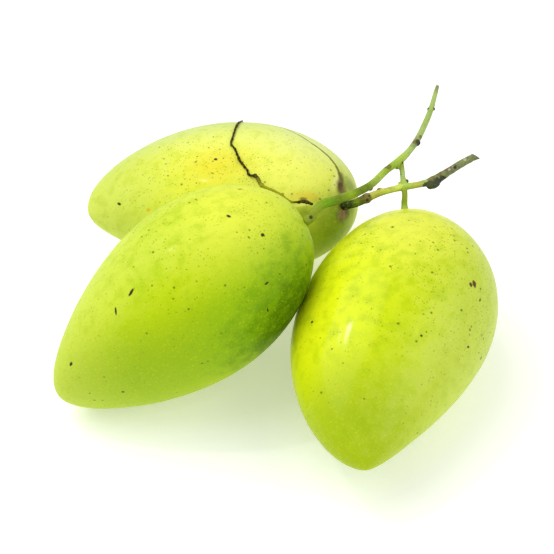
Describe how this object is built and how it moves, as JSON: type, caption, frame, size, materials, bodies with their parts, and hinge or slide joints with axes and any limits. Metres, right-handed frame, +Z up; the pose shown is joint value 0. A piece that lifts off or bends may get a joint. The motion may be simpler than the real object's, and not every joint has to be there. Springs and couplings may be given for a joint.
{
  "type": "mango bunch",
  "caption": "Green mangoes lying together on one branched fruit stalk, with a thin dried flower shoot over the back fruit and a woody cut end.",
  "frame": {"origin": "on the surface that the bunch lies on, under the middle of its box", "axes": "+Z up, +X to the right and -Y towards the viewer of the picture"},
  "size_m": [0.192, 0.2044, 0.094],
  "materials": {
    "skin_left": "waxy green mango skin with fine pale and brown dots",
    "skin_right": "waxy yellow-green mango skin with fine brown dots",
    "skin_back": "waxy yellow mango skin turning green at its ends",
    "stalk": "green bark, grey-brown and woody at the cut end",
    "dry_shoot": "dried dark brown bark"
  },
  "bodies": {
    "root": {"fruit_left": "skin_left", "fruit_right": "skin_right", "fruit_back": "skin_back", "stalk": "stalk", "dry_shoot": "dry_shoot"}
  },
  "joints": []
}
